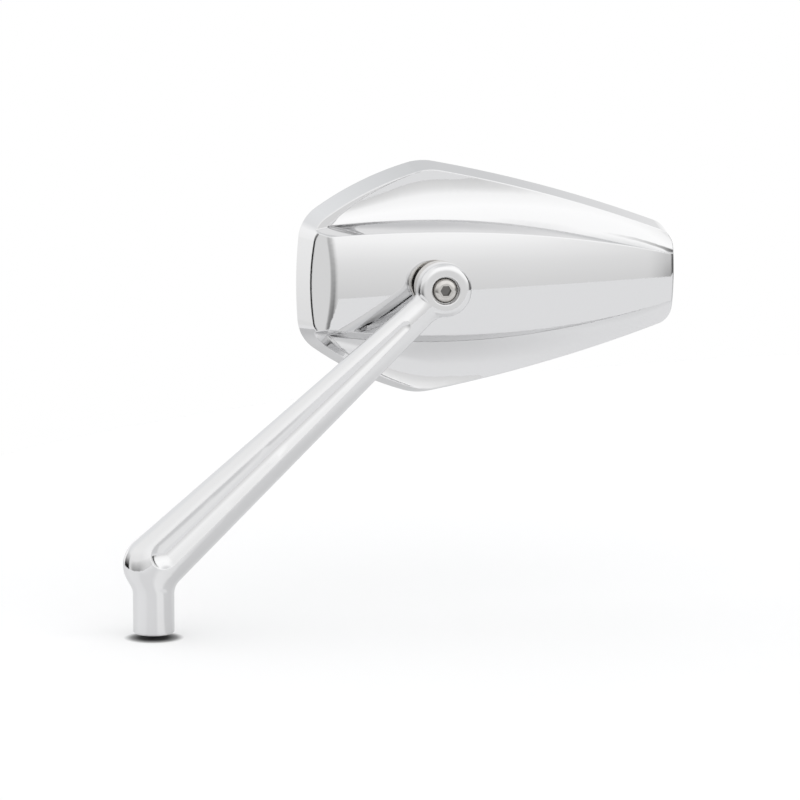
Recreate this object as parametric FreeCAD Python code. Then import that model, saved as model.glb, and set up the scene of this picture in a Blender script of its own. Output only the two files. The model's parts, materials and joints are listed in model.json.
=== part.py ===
import FreeCAD, Part
import math
import os
from FreeCAD import Placement, Rotation, Vector

# A chromed motorcycle mirror for the left-hand bar: a forged stem with a tapped foot, and a sculpted
# head that tilts and swivels on a ball stud behind the stem's eye.
#
# Row frame: origin at the centre of the foot's seat, +Z up the foot, +X outboard to the head, and the
# glass facing +Y. Millimetres.
# Head frame: origin where the pivot axis meets the plane of the glass-side rim, x outboard, y up, and
# z the height of the back above that plane. It stands in the row frame with z along -Y.

# Stem: foot, knuckle, arm and eye
FOOT_RADIUS = 8.4
FOOT_EDGE = 0.6
FOOT_OUTER_BLEND = 9.6
FOOT_INNER_BLEND = 7.0
THREAD_RADIUS = 4.4
THREAD_DEPTH = 22.0
KNUCKLE_Z = 28.0
KNUCKLE_RADIUS = 12.3
KNUCKLE_HALF_DEPTH = 8.9
PIVOT_X = 119.0
PIVOT_Z = 138.0
NECK_HALF_WIDTH = 6.2
NECK_HALF_DEPTH = 3.7
NECK_FORWARD = 1.1
NECK_BLEND = 8.0
EYE_RADIUS = 11.0
EYE_FRONT = 5.0
EYE_BACK = 3.5
EYE_FRONT_ROUND = 2.8
EYE_BACK_ROUND = 0.8
ELBOW_STEPS = 8
NECK_STEPS = 4
OVAL_GAP = 0.01
NEAR = 0.01

# Flute milled along the front of the arm
FLUTE_START = 7.0
FLUTE_END_GAP = 22.0
FLUTE_START_RADIUS = 8.0
FLUTE_END_RADIUS = 6.0
FLUTE_START_HALF_WIDTH = 5.6
FLUTE_END_HALF_WIDTH = 2.2
FLUTE_OFFSET = 1.4

# Pivot screw: an M6 button-head socket screw, its head in a counterbore
SCREW_RADIUS = 3.0
SCREW_LENGTH = 18.0
SCREW_HEAD_RADIUS = 5.25
SCREW_HEAD_HEIGHT = 3.3
SCREW_HEAD_RIM = 0.8
SCREW_HEAD_FLAT = 2.9
SCREW_HEAD_BULGE = 0.55
SCREW_TIP_BEVEL = 0.6
SCREW_KEY_WIDTH = 4.0
SCREW_KEY_DEPTH = 2.1
SCREW_HEAD_GAP = 0.5
SCREW_HOLE_GAP = 0.2
COUNTERBORE_DEPTH = 3.1
THREAD_GAP = 0.03

# Ball stud and the collar that spaces it from the eye
BALL_RADIUS = 8.0
STUD_NECK_RADIUS = 5.0
SPIGOT_RADIUS = 4.4
SPIGOT_GAP = 0.05
COLLAR_RADIUS = 10.6
COLLAR_LENGTH = 8.0
COLLAR_EDGE = 0.4
BACK_GAP = 4.5
BALL_DEPTH = 11.0
STUD_TAP_SPARE = 3.0

# Floating seats of the ball, and the socket round them
SEAT_GAP = 0.1
SEAT_THICKNESS = 1.5
FRONT_SEAT_ANGLES = (52.0, 80.0)
REAR_SEAT_ANGLES = (98.0, 140.0)
SOCKET_LIP_ANGLE = 50.0
MOUTH_RADIUS = 8.9

# Clamp plate behind the ball, its screws and disc springs
PLATE_THICKNESS = 1.6
PLATE_GAP = 0.7
PLATE_EDGE = 0.4
PLATE_HOLE_ANGLE = 145.0
CLAMP_COUNT = 3
CLAMP_SIDE_GAP = 0.2
CLAMP_SCREW_RADIUS = 1.5
CLAMP_SCREW_DEPTH = 6.0
CLAMP_TAP_SPARE = 0.8
CLAMP_HEAD_RADIUS = 2.4
CLAMP_HEAD_HEIGHT = 1.7
CLAMP_HOLE_GAP = 0.15
CLAMP_KEY_WIDTH = 2.0
CLAMP_KEY_DEPTH = 0.9
SPRING_RADIUS = 2.6
SPRING_STRIP = 0.4
SPRING_RISE = 0.5

# Rest pose of the head on its ball joint
HEAD_PAN = 6.5
HEAD_ROLL = -0.95

# Head outline at the glass-side rim
INNER_END = 53.6
INNER_HALF = 24.5
INNER_BOW = 1.5
INNER_CORNER_ROUND = 16.0
WIDEST_X = -1.5
WIDEST_HALF = 49.0
WIDEST_ROUND = 25.0
INNER_SIDE_BOW = 3.0
OUTER_END = 108.3
OUTER_HALF = 20.0
OUTER_BOW = 1.0
OUTER_CORNER_ROUND = 11.0
OUTER_SIDE_BOW = 2.6

# Head back: drafted wall, crowned spine and a scalloped pocket on each side of it
HEAD_HEIGHT = 30.0
WALL_DRAFT = 12.0
RIM_HEIGHT = 13.5
CROWN_ALONG_RADIUS = 274.0
CROWN_ACROSS_RADIUS = 110.0
CROWN_PEAK_X = 18.6
SPINE_LEAN = 20.0
SPINE_INNER_HALF = 20.3
SPINE_WIDEST_HALF = 26.6
SPINE_WIDEST_X = 10.0
SPINE_OUTER_HALF = 9.4
INNER_FACET_SLOPE = 54.0
INNER_RIM_ROUND = 2.0
INNER_END_ROUND = 5.0
OUTER_END_ROUND = 3.5
OUTER_ROUND_REACH = 0.54
POCKET_CORNER_GAP = 9.5
POCKET_BEND_GAP = 28.8
POCKET_LAND = 1.4
POCKET_TOP_SPARE = 0.4
POCKET_EDGE_ROUND = 0.4
POCKET_STEP = 3.3
POCKET_LEAST = 0.15
POCKET_SAG_SHARE = 0.1
POCKET_RUN_OUT = 0.3
POCKET_STATIONS = 13
TOOL_SPARE = 10.0
SIDE_DEPTH = 11.0
SIDE_LEAST = 0.4
SIDE_FADE = 1.5
SIDE_INNER_REACH = 150.0
SIDE_OUTER_REACH = 90.0

# Head inside, glass and its tape
LIP_THICKNESS = 2.6
GLASS_GAP = 0.4
GLASS_THICKNESS = 2.0
GLASS_CURVE_RADIUS = 1400.0
GLASS_SINK = 0.4
LEDGE_DEPTH = 5.4
LEDGE_WIDTH = 4.0
CAVITY_DEPTH = 8.0
CAVITY_END = 12.0
SPINE_WALL = 3.6
TAPE_WIDTH = 3.2
TAPE_GAP = 0.2

# Derived places
WALL_SLOPE = math.tan(math.radians(WALL_DRAFT))
LEAN_SLOPE = math.tan(math.radians(SPINE_LEAN))
GLASS_PLANE_Y = EYE_BACK + COLLAR_LENGTH + BACK_GAP + HEAD_HEIGHT
BALL_HEIGHT = HEAD_HEIGHT - BALL_DEPTH
SEAT_INNER = BALL_RADIUS + SEAT_GAP
SEAT_OUTER = SEAT_INNER + SEAT_THICKNESS
SOCKET_RADIUS = SEAT_OUTER + SEAT_GAP
CLAMP_CIRCLE_RADIUS = SOCKET_RADIUS + PLATE_THICKNESS + CLAMP_SIDE_GAP + SPRING_RADIUS
PLATE_RADIUS = CLAMP_CIRCLE_RADIUS + SPRING_RADIUS + PLATE_EDGE
PLATE_TOP = BALL_HEIGHT - PLATE_GAP
PLATE_BOTTOM = PLATE_TOP - PLATE_THICKNESS
GLASS_CENTRE_X = (OUTER_END - INNER_END) / 2
GLASS_INSET = LIP_THICKNESS + GLASS_GAP
BALL_CENTRE = Vector(0, 0, BALL_HEIGHT)
REST_TURN = Rotation(Vector(0, 1, 0), HEAD_PAN).multiply(Rotation(Vector(0, 0, 1), HEAD_ROLL))
STEM_PLACE = Placement(Vector(PIVOT_X, GLASS_PLANE_Y, PIVOT_Z), Rotation(Vector(1, 0, 0), 90))
HEAD_PLACE = STEM_PLACE.multiply(Placement(Vector(0, 0, 0), REST_TURN, BALL_CENTRE))
CLEAR_ABOVE = HEAD_HEIGHT + 1.0
CLEAR_OUT = INNER_END + OUTER_END


def height_at(row_y):
    """Height in the head frame of a place on the pivot axis."""
    return GLASS_PLANE_Y - row_y


def polar(radius, degrees):
    """Radius and height in the head frame of a point on a sphere round the ball's centre."""
    angle = math.radians(degrees)
    return Vector(radius * math.sin(angle), 0, BALL_HEIGHT + radius * math.cos(angle))


def profile(points):
    """Closed face in the head frame's x-z plane; a point given as a pair of points is an arc to its end."""
    edges = []
    here = points[0]
    for step in points[1:] + [points[0]]:
        if isinstance(step, tuple):
            edges.append(Part.Arc(here, step[0], step[1]).toShape())
            here = step[1]
        else:
            edges.append(Part.makeLine(here, step))
            here = step
    return Part.Face(Part.Wire(edges))


def turned(points):
    """Solid turned about the pivot axis from a profile in the head frame."""
    return profile(points).revolve(Vector(0, 0, 0), Vector(0, 0, 1), 360)


def on_axis(radius, low, high):
    """Cylinder on the pivot axis between two heights of the head frame."""
    return Part.makeCylinder(radius, high - low, Vector(0, 0, low))


def seated(shape, place=HEAD_PLACE):
    """Shape moved from the head frame to the row frame, with the head's turn unless told otherwise."""
    moved = shape.copy()
    moved.Placement = place
    return moved


def save(shape, node):
    """Writes one node as a STEP file."""
    shape.exportStep(os.path.join("parts", node + ".step"))


# Stem


def arm_line():
    """Unit vector along the arm, unit vector across it and its length from knuckle to pivot."""
    along = Vector(PIVOT_X, 0, PIVOT_Z - KNUCKLE_Z)
    length = along.Length
    along.normalize()
    return along, Vector(-along.z, 0, along.x), length


def arm_section(place):
    """Half width, half depth and forward set of the arm at a distance from the knuckle's centre."""
    share = place / arm_line()[2]
    half_width = KNUCKLE_RADIUS + (NECK_HALF_WIDTH - KNUCKLE_RADIUS) * share
    half_depth = KNUCKLE_HALF_DEPTH + (NECK_HALF_DEPTH - KNUCKLE_HALF_DEPTH) * share
    return half_width, half_depth, NECK_FORWARD * share


def oval(inner, outer, half_depth):
    """Elliptical section that spans two points of the stem's side view."""
    centre = (inner + outer) * 0.5
    return Part.Wire(Part.Ellipse(outer, centre + Vector(0, half_depth, 0), centre).toShape())


def arm_oval(place, half_width):
    """Section of the arm square to its line, with a half width of its own."""
    along, across, _ = arm_line()
    _, half_depth, forward = arm_section(place)
    centre = Vector(0, -forward, KNUCKLE_Z) + along * place
    return oval(centre - across * half_width, centre + across * half_width, half_depth)


def elbow_outline():
    """Outer side view of the elbow: foot, concave blend, knuckle and the arm's upper edge."""
    along, across, length = arm_line()
    knuckle = Vector(0, 0, KNUCKLE_Z)
    reach = FOOT_RADIUS + FOOT_OUTER_BLEND
    drop = math.sqrt((FOOT_OUTER_BLEND + KNUCKLE_RADIUS) ** 2 - reach ** 2)
    blend_centre = Vector(-reach, 0, KNUCKLE_Z - drop)
    start = blend_centre + Vector(FOOT_OUTER_BLEND, 0, 0)
    to_knuckle = (knuckle - blend_centre).normalize()
    meet = blend_centre + to_knuckle * FOOT_OUTER_BLEND
    half_turn = (Vector(1, 0, 0) + to_knuckle).normalize()
    blend = Part.Arc(start, blend_centre + half_turn * FOOT_OUTER_BLEND, meet).toShape()
    top = knuckle + across * KNUCKLE_RADIUS
    crown = knuckle + ((meet - knuckle).normalize() + across).normalize() * KNUCKLE_RADIUS
    far = knuckle + along * length + across * arm_section(length)[0]
    foot = Part.makeLine(Vector(-FOOT_RADIUS, 0, 0), start)
    return Part.Wire([foot, blend, Part.Arc(meet, crown, top).toShape(), Part.makeLine(top, far)])


def elbow_sections():
    """Sections that fan round the inner blend from the foot to the arm."""
    along, across, length = arm_line()
    outline = elbow_outline()
    low = Vector(0, 0, KNUCKLE_Z) - across * KNUCKLE_RADIUS
    high = Vector(0, 0, KNUCKLE_Z) + along * length - across * arm_section(length)[0]
    edge = (high - low).normalize()
    out = Vector(edge.z, 0, -edge.x)
    centre_x = FOOT_RADIUS + FOOT_INNER_BLEND
    centre_z = low.z + ((centre_x - low.x) * out.x - FOOT_INNER_BLEND) / -out.z
    centre = Vector(centre_x, 0, centre_z)
    last = math.degrees(math.atan2(-out.z, -out.x))
    sections = []
    for index in range(ELBOW_STEPS + 1):
        share = index / ELBOW_STEPS
        angle = math.radians(180.0 + (last - 180.0) * share)
        ray = Vector(math.cos(angle), 0, math.sin(angle))
        sight = Part.makeLine(centre + ray * FOOT_INNER_BLEND, centre + ray * CLEAR_OUT)
        outer = outline.distToShape(sight)[1][0][0]
        depth = FOOT_RADIUS + (KNUCKLE_HALF_DEPTH - FOOT_RADIUS) * share
        sections.append(oval(centre + ray * FOOT_INNER_BLEND, outer, depth - OVAL_GAP))
    foot = Vector(FOOT_RADIUS, 0, 0)
    top = Vector(0, 0, centre_z)
    return [oval(top + foot, top - foot, FOOT_RADIUS - OVAL_GAP)] + sections[1:], centre_z


def neck_sections():
    """Sections of the arm where it widens and runs into the eye."""
    length = arm_line()[2]
    edge = NECK_HALF_WIDTH + NECK_BLEND
    start = math.sqrt((EYE_RADIUS + NECK_BLEND) ** 2 - edge ** 2)
    meet = start * EYE_RADIUS / (EYE_RADIUS + NECK_BLEND)
    sections = []
    for index in range(NECK_STEPS + 1):
        run = (start - meet) * index / NECK_STEPS
        half_width = edge - math.sqrt(NECK_BLEND ** 2 - run ** 2)
        sections.append(arm_oval(length - start + run, half_width))
    return sections


def flute_tool():
    """Tapered round-nosed cutter that mills the flute along the arm's front."""
    along, across, length = arm_line()
    ends = []
    for place, radius, half in (
        (FLUTE_START, FLUTE_START_RADIUS, FLUTE_START_HALF_WIDTH),
        (length - FLUTE_END_GAP, FLUTE_END_RADIUS, FLUTE_END_HALF_WIDTH),
    ):
        half_width, half_depth, forward = arm_section(place)
        chord = half_depth * math.sqrt(1 - (half / half_width) ** 2)
        stand_off = forward + chord + math.sqrt(radius ** 2 - half ** 2)
        centre = Vector(0, -stand_off, KNUCKLE_Z) + along * place + across * FLUTE_OFFSET
        ends.append((centre, radius))
    (start, start_radius), (end, end_radius) = ends
    run = end - start
    tool = Part.makeCone(start_radius, end_radius, run.Length, start, run)
    return tool.fuse([Part.makeSphere(start_radius, start), Part.makeSphere(end_radius, end)])


def eye():
    """Round eye of the stem, with a softly rounded front."""
    body = Part.makeCylinder(
        EYE_RADIUS, EYE_FRONT + EYE_BACK, Vector(PIVOT_X, -EYE_FRONT, PIVOT_Z), Vector(0, 1, 0)
    )
    front = [e for e in body.Edges if e.BoundBox.YMax < -EYE_FRONT + NEAR]
    body = body.makeFillet(EYE_FRONT_ROUND, front)
    back = [e for e in body.Edges if e.BoundBox.YMin > EYE_BACK - NEAR]
    return body.makeFillet(EYE_BACK_ROUND, back)


def stem():
    """Forged stem: tapped foot, knuckle, tapered fluted arm and bored eye in one piece."""
    elbow, foot_top = elbow_sections()
    foot = Part.Face(elbow[0]).extrude(Vector(0, 0, -foot_top))
    foot = foot.makeChamfer(FOOT_EDGE, [e for e in foot.Edges if abs(e.BoundBox.ZMax) < NEAR])
    neck = neck_sections()
    bend = Part.makeLoft(elbow, True)
    arm = Part.makeLoft([elbow[-1], neck[0]], True, True)
    body = arm.fuse([bend, Part.makeLoft(neck, True), foot, eye()]).cut(flute_tool())
    pivot = Vector(PIVOT_X, -EYE_FRONT, PIVOT_Z)
    through = Part.makeCylinder(
        SCREW_RADIUS + SCREW_HOLE_GAP, EYE_FRONT + EYE_BACK, pivot, Vector(0, 1, 0)
    )
    counterbore = Part.makeCylinder(
        SCREW_HEAD_RADIUS + SCREW_HEAD_GAP, COUNTERBORE_DEPTH, pivot, Vector(0, 1, 0)
    )
    thread = Part.makeCylinder(THREAD_RADIUS, THREAD_DEPTH)
    return body.cut([through, counterbore, thread]).removeSplitter()


# Pieces on the pivot axis, in the head frame


def hexagon(across_flats, low, high):
    """Hexagonal prism on the pivot axis, for a key socket."""
    corner = across_flats / math.sqrt(3)
    turns = [math.radians(60.0 * index) for index in range(7)]
    ring = Part.makePolygon([Vector(corner * math.cos(t), corner * math.sin(t), low) for t in turns])
    return Part.Face(ring).extrude(Vector(0, 0, high - low))


def pivot_screw():
    """Button-head screw that clamps the eye and the collar to the ball stud."""
    seat = height_at(COUNTERBORE_DEPTH - EYE_FRONT)
    tip = seat - SCREW_LENGTH
    top = seat + SCREW_HEAD_HEIGHT
    rim = Vector(SCREW_HEAD_RADIUS, 0, seat + SCREW_HEAD_RIM)
    flat = Vector(SCREW_HEAD_FLAT, 0, top)
    out = Vector(flat.z - rim.z, 0, rim.x - flat.x).normalize()
    body = turned([
        Vector(0, 0, tip),
        Vector(SCREW_RADIUS - SCREW_TIP_BEVEL, 0, tip),
        Vector(SCREW_RADIUS, 0, tip + SCREW_TIP_BEVEL),
        Vector(SCREW_RADIUS, 0, seat),
        Vector(SCREW_HEAD_RADIUS, 0, seat),
        rim,
        ((rim + flat) * 0.5 + out * SCREW_HEAD_BULGE, flat),
        Vector(0, 0, top),
    ])
    return body.cut(hexagon(SCREW_KEY_WIDTH, top - SCREW_KEY_DEPTH, top))


def spacer_collar():
    """Plain collar on the stud's spigot, between the eye and the stud's shoulder."""
    low = height_at(EYE_BACK + COLLAR_LENGTH)
    high = height_at(EYE_BACK)
    bore = SPIGOT_RADIUS + SPIGOT_GAP
    return turned([
        Vector(bore, 0, low),
        Vector(COLLAR_RADIUS - COLLAR_EDGE, 0, low),
        Vector(COLLAR_RADIUS, 0, low + COLLAR_EDGE),
        Vector(COLLAR_RADIUS, 0, high - COLLAR_EDGE),
        Vector(COLLAR_RADIUS - COLLAR_EDGE, 0, high),
        Vector(bore, 0, high),
    ])


def ball_stud():
    """Ball with a neck and a spigot, tapped from the spigot's end for the pivot screw."""
    shoulder = height_at(EYE_BACK + COLLAR_LENGTH)
    end = height_at(EYE_BACK)
    join = math.degrees(math.asin(STUD_NECK_RADIUS / BALL_RADIUS))
    body = turned([
        polar(BALL_RADIUS, 180.0),
        (polar(BALL_RADIUS, 90.0 + join / 2), polar(BALL_RADIUS, join)),
        Vector(STUD_NECK_RADIUS, 0, shoulder),
        Vector(SPIGOT_RADIUS, 0, shoulder),
        Vector(SPIGOT_RADIUS, 0, end),
        Vector(0, 0, end),
    ])
    tip = height_at(COUNTERBORE_DEPTH - EYE_FRONT) - SCREW_LENGTH
    return body.cut(on_axis(SCREW_RADIUS + THREAD_GAP, tip - STUD_TAP_SPARE, end))


def ball_seat(angles):
    """Floating ring between ball and socket, over a range of angles from the pivot axis."""
    first, last = angles
    middle = (first + last) / 2
    return turned([
        polar(SEAT_INNER, first),
        (polar(SEAT_INNER, middle), polar(SEAT_INNER, last)),
        polar(SEAT_OUTER, last),
        (polar(SEAT_OUTER, middle), polar(SEAT_OUTER, first)),
    ])


def round_the_clamp(shape):
    """Copies of a shape at each clamp screw's place."""
    copies = []
    for index in range(CLAMP_COUNT):
        copy = shape.copy()
        copy.translate(Vector(0, CLAMP_CIRCLE_RADIUS, 0))
        copy.rotate(Vector(0, 0, 0), Vector(0, 0, 1), 360.0 * index / CLAMP_COUNT)
        copies.append(copy)
    return copies


def clamp_plate():
    """Pressed plate whose dome holds the rear seat against the ball."""
    shell = SOCKET_RADIUS + PLATE_THICKNESS
    top_angle = 90.0 + math.degrees(math.asin((BALL_HEIGHT - PLATE_TOP) / SOCKET_RADIUS))
    low_angle = 90.0 + math.degrees(math.asin((BALL_HEIGHT - PLATE_BOTTOM) / shell))
    body = turned([
        polar(SOCKET_RADIUS, top_angle),
        (polar(SOCKET_RADIUS, (top_angle + PLATE_HOLE_ANGLE) / 2), polar(SOCKET_RADIUS, PLATE_HOLE_ANGLE)),
        polar(shell, PLATE_HOLE_ANGLE),
        (polar(shell, (low_angle + PLATE_HOLE_ANGLE) / 2), polar(shell, low_angle)),
        Vector(PLATE_RADIUS, 0, PLATE_BOTTOM),
        Vector(PLATE_RADIUS, 0, PLATE_TOP),
    ])
    return body.cut(round_the_clamp(on_axis(CLAMP_SCREW_RADIUS + CLAMP_HOLE_GAP, PLATE_BOTTOM, PLATE_TOP)))


def clamp_springs():
    """Disc springs between the clamp plate and its screw heads."""
    hole = CLAMP_SCREW_RADIUS + CLAMP_HOLE_GAP
    disc = turned([
        Vector(SPRING_RADIUS, 0, PLATE_BOTTOM),
        Vector(hole, 0, PLATE_BOTTOM - SPRING_RISE),
        Vector(hole, 0, PLATE_BOTTOM - SPRING_RISE - SPRING_STRIP),
        Vector(SPRING_RADIUS, 0, PLATE_BOTTOM - SPRING_STRIP),
    ])
    return Part.makeCompound(round_the_clamp(disc))


def clamp_screws():
    """Socket screws that hold the clamp plate to the shell's boss."""
    seat = PLATE_BOTTOM - SPRING_RISE - SPRING_STRIP
    end = seat - CLAMP_HEAD_HEIGHT
    screw = on_axis(CLAMP_SCREW_RADIUS, seat, BALL_HEIGHT + CLAMP_SCREW_DEPTH)
    screw = screw.fuse(on_axis(CLAMP_HEAD_RADIUS, end, seat)).removeSplitter()
    screw = screw.cut(hexagon(CLAMP_KEY_WIDTH, end, end + CLAMP_KEY_DEPTH))
    return Part.makeCompound(round_the_clamp(screw))


# Head shell, in the head frame


def side_circle(start, end, bow):
    """Centre and radius of the arc between two corners that bows out to the left of its run."""
    chord = end - start
    radius = (chord.Length ** 2 / 4 + bow ** 2) / (2 * bow)
    left = Vector(-chord.y, chord.x, 0).normalize()
    return (start + end) * 0.5 - left * (radius - bow), radius


def round_circle(first, second, corner, radius):
    """Centre and radius of the round that runs into two side arcs at a corner."""
    reach, other = first[1] - radius, second[1] - radius
    gap = second[0] - first[0]
    along = (reach ** 2 - other ** 2 + gap.Length ** 2) / (2 * gap.Length)
    off = math.sqrt(reach ** 2 - along ** 2)
    unit = Vector(gap).normalize()
    across = Vector(-unit.y, unit.x, 0) * off
    middle = first[0] + unit * along
    return min((middle + across, middle - across), key=corner.distanceToPoint), radius


def rim_circles():
    """Centre and radius of each arc round the glass-side rim: corner rounds and sides in turn."""
    inner_x = INNER_BOW - INNER_END
    outer_x = OUTER_END - OUTER_BOW
    corners = [
        (Vector(inner_x, -INNER_HALF, 0), INNER_BOW, INNER_CORNER_ROUND),
        (Vector(inner_x, INNER_HALF, 0), INNER_SIDE_BOW, INNER_CORNER_ROUND),
        (Vector(WIDEST_X, WIDEST_HALF, 0), OUTER_SIDE_BOW, WIDEST_ROUND),
        (Vector(outer_x, OUTER_HALF, 0), OUTER_BOW, OUTER_CORNER_ROUND),
        (Vector(outer_x, -OUTER_HALF, 0), OUTER_SIDE_BOW, OUTER_CORNER_ROUND),
        (Vector(WIDEST_X, -WIDEST_HALF, 0), INNER_SIDE_BOW, WIDEST_ROUND),
    ]
    ends = corners[1:] + corners[:1]
    sides = [side_circle(start, end, bow) for (start, bow, _), (end, _, _) in zip(corners, ends)]
    circles = []
    for index, (corner, _, radius) in enumerate(corners):
        circles.append(round_circle(sides[index - 1], sides[index], corner, radius))
        circles.append(sides[index])
    return circles


def outline(inset, height):
    """Rim outline moved inward by an inset and up to a height."""
    circles = rim_circles()
    meets = []
    for here, after in zip(circles, circles[1:] + circles[:1]):
        small, large = sorted((here, after), key=lambda circle: circle[1])
        meets.append((small[0] - large[0]).normalize())
    edges = []
    for index, (centre, radius) in enumerate(circles):
        start, end = meets[index - 1], meets[index]
        rays = (start, (start + end).normalize(), end)
        edges.append(Part.Arc(*[centre + ray * (radius - inset) for ray in rays]).toShape())
    wire = Part.Wire(edges)
    wire.translate(Vector(0, 0, height))
    return wire


def wall_outline(height):
    """Outline of the drafted wall at a height."""
    return outline(height * WALL_SLOPE, height)


def outline_block(inset, low, high):
    """Straight block of the rim's inset outline between two heights."""
    return Part.Face(outline(inset, low)).extrude(Vector(0, 0, high - low))


def crown(inset):
    """Barrel-shaped body whose top is the crowned back of the head, lowered by an inset."""
    along = CROWN_ALONG_RADIUS - inset
    across = CROWN_ACROSS_RADIUS - inset
    centre = HEAD_HEIGHT - math.sqrt(CROWN_ALONG_RADIUS ** 2 - CROWN_PEAK_X ** 2)
    peak = centre + along
    half = WIDEST_HALF + OUTER_SIDE_BOW
    side = peak - across + math.sqrt(across ** 2 - half ** 2)
    floor = peak - 2 * HEAD_HEIGHT
    x = CROWN_PEAK_X
    arc = Part.Arc(Vector(x, -half, side), Vector(x, 0, peak), Vector(x, half, side)).toShape()
    foot = Part.makePolygon([
        Vector(x, half, side), Vector(x, half, floor), Vector(x, -half, floor), Vector(x, -half, side)
    ])
    face = Part.Face(Part.Wire([arc] + foot.Edges))
    reach = max(INNER_END + CROWN_PEAK_X, OUTER_END - CROWN_PEAK_X) + TOOL_SPARE
    swing = math.degrees(math.asin(reach / CROWN_ALONG_RADIUS))
    face.rotate(Vector(x, 0, centre), Vector(0, 1, 0), -swing)
    return face.revolve(Vector(x, 0, centre), Vector(0, 1, 0), 2 * swing)


def spine_half(x, height):
    """Half width of the spine's leaning side at a place along it and a height."""
    circle = Part.Circle(
        Vector(-INNER_END, SPINE_INNER_HALF, 0),
        Vector(SPINE_WIDEST_X, SPINE_WIDEST_HALF, 0),
        Vector(OUTER_END, SPINE_OUTER_HALF, 0),
    )
    reach = math.sqrt(circle.Radius ** 2 - (x - circle.Center.x) ** 2)
    return circle.Center.y + reach - (height - RIM_HEIGHT) * LEAN_SLOPE


def spine_block(wall, end_wall, low):
    """Spine between its leaning sides from a low height up, thinned by a wall at the sides and ends."""
    wires = []
    first, last = end_wall - INNER_END, OUTER_END - end_wall
    for height in (low, CLEAR_ABOVE):
        places = (first, SPINE_WIDEST_X, last)
        upper = [Vector(x, spine_half(x, height) - wall, height) for x in places]
        lower = [Vector(p.x, -p.y, height) for p in upper]
        wires.append(Part.Wire([
            Part.Arc(*upper).toShape(),
            Part.makeLine(upper[2], lower[2]),
            Part.Arc(lower[2], lower[1], lower[0]).toShape(),
            Part.makeLine(lower[0], upper[0]),
        ]))
    return Part.makeLoft(wires, True, True)


def crown_height(x, y):
    """Height of the crowned back at a place."""
    along = math.sqrt(CROWN_ALONG_RADIUS ** 2 - (x - CROWN_PEAK_X) ** 2)
    fall = CROWN_ACROSS_RADIUS - math.sqrt(CROWN_ACROSS_RADIUS ** 2 - y ** 2)
    return HEAD_HEIGHT - math.sqrt(CROWN_ALONG_RADIUS ** 2 - CROWN_PEAK_X ** 2) + along - fall


def foot_height(x):
    """Height where the spine's side runs into the pocket: deep by the pivot, fading out at the outer end."""
    edge = crown_height(x, spine_half(x, crown_height(x, 0.0)))
    reach = SIDE_OUTER_REACH if x > 0 else SIDE_INNER_REACH
    share = max(0.0, 1.0 - (x / reach) ** 2) ** SIDE_FADE
    return edge - SIDE_LEAST - (SIDE_DEPTH - SIDE_LEAST) * share


def rim_half(x):
    """Half height of the drafted wall at the rim's height, at a place along the head."""
    near = max(INNER_CORNER_ROUND - INNER_END, min(x, OUTER_END - OUTER_CORNER_ROUND))
    sight = Part.makeLine(Vector(near, 0, RIM_HEIGHT), Vector(near, CLEAR_OUT, RIM_HEIGHT))
    edge = wall_outline(RIM_HEIGHT).distToShape(sight)[1][0][0].y
    fall = (OUTER_HALF - WIDEST_HALF) / (OUTER_END - WIDEST_X)
    rise = (WIDEST_HALF - INNER_HALF) / (WIDEST_X + INNER_END)
    return edge + (x - near) * (fall if x > near else rise)


def scallop_section(x):
    """Section across the space over one scallop, from the head's middle out past the wall."""
    low = foot_height(x)
    foot = Vector(x, spine_half(x, low), low)
    inward = max(0.0, -x / INNER_END)
    edge = Vector(x, rim_half(x), RIM_HEIGHT - POCKET_LEAST - POCKET_STEP * inward ** 2)
    dip = (foot + edge) * 0.5 - Vector(0, 0, (edge - foot).Length * POCKET_SAG_SHARE)
    arc = Part.Arc(foot, dip, edge)
    spare = (arc.LastParameter - arc.FirstParameter) * POCKET_RUN_OUT
    near, far = arc.value(arc.FirstParameter - spare), arc.value(arc.LastParameter + spare)
    top = 2 * CLEAR_ABOVE
    over = [far, Vector(x, far.y, top), Vector(x, 0, top), Vector(x, 0, near.z), near]
    return Part.Wire([Part.Arc(near, dip, far).toShape()] + Part.makePolygon(over).Edges)


def pocket_plan():
    """Upright block over one pocket, its inner side curved along the rim."""
    first, second = POCKET_CORNER_GAP - INNER_END, POCKET_BEND_GAP - INNER_END
    corner = Vector(first, spine_half(first, RIM_HEIGHT), 0)
    bend = Vector(second, rim_half(second) - POCKET_LAND, 0)
    top = Vector(0, rim_half(0.0) + POCKET_TOP_SPARE, 0)
    rest = Part.makePolygon([
        top, Vector(0, CLEAR_OUT, 0), Vector(CLEAR_OUT, CLEAR_OUT, 0), Vector(CLEAR_OUT, 0, 0),
        Vector(first, 0, 0), corner,
    ])
    face = Part.Face(Part.Wire([Part.Arc(corner, bend, top).toShape()] + rest.Edges))
    return face.extrude(Vector(0, 0, 2 * CLEAR_ABOVE))


def pocket_tool():
    """Space cut away beside the spine: the scalloped pocket, and the flat land round its inner corner."""
    first, last = -INNER_END - TOOL_SPARE, OUTER_END + TOOL_SPARE
    step = (last - first) / (POCKET_STATIONS - 1)
    sections = [scallop_section(first + step * index) for index in range(POCKET_STATIONS)]
    plan = pocket_plan()
    scallop = Part.makeLoft(sections, True).common(plan)
    land = Part.makeBox(2 * CLEAR_OUT, CLEAR_OUT, CLEAR_ABOVE, Vector(-CLEAR_OUT, 0, RIM_HEIGHT)).cut(plan)
    return scallop.fuse(land).cut(spine_block(0.0, 0.0, 0.0))


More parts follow.
